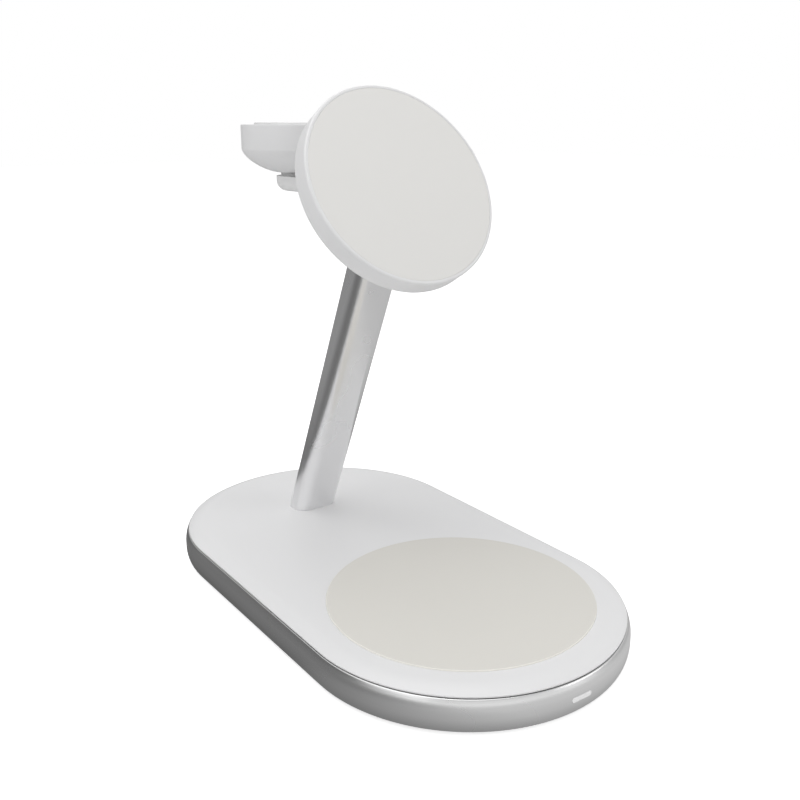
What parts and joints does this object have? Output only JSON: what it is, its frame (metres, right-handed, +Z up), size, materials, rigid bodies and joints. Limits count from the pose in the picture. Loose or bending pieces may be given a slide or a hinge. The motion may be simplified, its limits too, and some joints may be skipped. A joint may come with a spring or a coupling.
{
  "type": "three in one wireless charger",
  "caption": "Desk charger: stadium base with an earbud pad, a leaning metal stem, a round tilting phone disc and a watch cradle behind it.",
  "frame": {"origin": "middle of the base outline, on the surface that the foot ring stands on", "axes": "+Z up, -Y towards the user (front of the base), +X to the user's right"},
  "size_m": [0.093, 0.1643, 0.1475],
  "materials": {
    "silver_aluminium": "fine blasted satin, natural silver",
    "white_plastic": "fine satin moulded white",
    "white_paint": "satin white paint on a casting",
    "pad_silicone": "soft matte silicone, warm off white",
    "white_gloss": "smooth satin gloss white",
    "light_guide": "milky clear",
    "foot_rubber": "soft matte grey",
    "inner_plastic": "plain moulded",
    "steel": "plated, plain",
    "cast_metal": "cast zinc, plain",
    "copper_wire": "lacquered copper wire",
    "ferrite": "dull dark grey",
    "magnet_plate": "nickel plated",
    "circuit_board": "green lacquer",
    "lead_jacket": "soft black jacket"
  },
  "bodies": {
    "root": {"base_frame": "silver_aluminium", "base_top_cover": "white_plastic", "base_bottom_cover": "white_plastic", "foot_ring": "foot_rubber", "base_screws": "steel", "earbud_pad": "pad_silicone", "earbud_coil": "copper_wire", "earbud_ferrite": "ferrite", "earbud_coil_carrier": "inner_plastic", "main_circuit_board": "circuit_board", "usb_board": "circuit_board", "usb_c_socket": "steel", "indicator_window": "light_guide", "indicator_board": "circuit_board", "base_weight": "steel", "stem_socket": "cast_metal", "stem_socket_screws": "steel", "stem_tube": "silver_aluminium", "stem_harness": "lead_jacket", "power_lead": "lead_jacket", "head_bracket": "white_paint", "arm_cover": "white_plastic", "arm_lead": "lead_jacket", "hinge_pin": "steel", "hinge_caps": "white_plastic", "hinge_washers": "inner_plastic", "watch_pivot_tube": "cast_metal", "watch_friction_washer": "inner_plastic", "watch_retaining_clip": "steel"},
    "phone_head": {"phone_disc_housing": "white_plastic", "phone_hinge_lug": "cast_metal", "phone_lug_screws": "steel", "phone_board": "circuit_board", "phone_ferrite": "ferrite", "phone_coil": "copper_wire", "phone_magnet_ring": "magnet_plate", "phone_front_plate": "inner_plastic", "phone_face_pad": "pad_silicone"},
    "watch_cradle": {"watch_bowl": "white_plastic", "watch_top_cover": "white_plastic", "watch_puck": "white_gloss", "watch_coil": "copper_wire", "watch_magnet": "magnet_plate", "watch_ferrite": "ferrite", "watch_board": "circuit_board"}
  },
  "joints": [
    {"name": "phone_tilt", "type": "hinge", "parent": "root", "child": "phone_head", "pos_m": [0, 0.00313, 0.11568], "axis": [1, 0, 0], "range_deg": [-15, 20]},
    {"name": "watch_swivel", "type": "hinge", "parent": "root", "child": "watch_cradle", "pos_m": [0, 0.04113, 0.1223], "axis": [0, 0, 1], "range_deg": [-90, 90]}
  ]
}
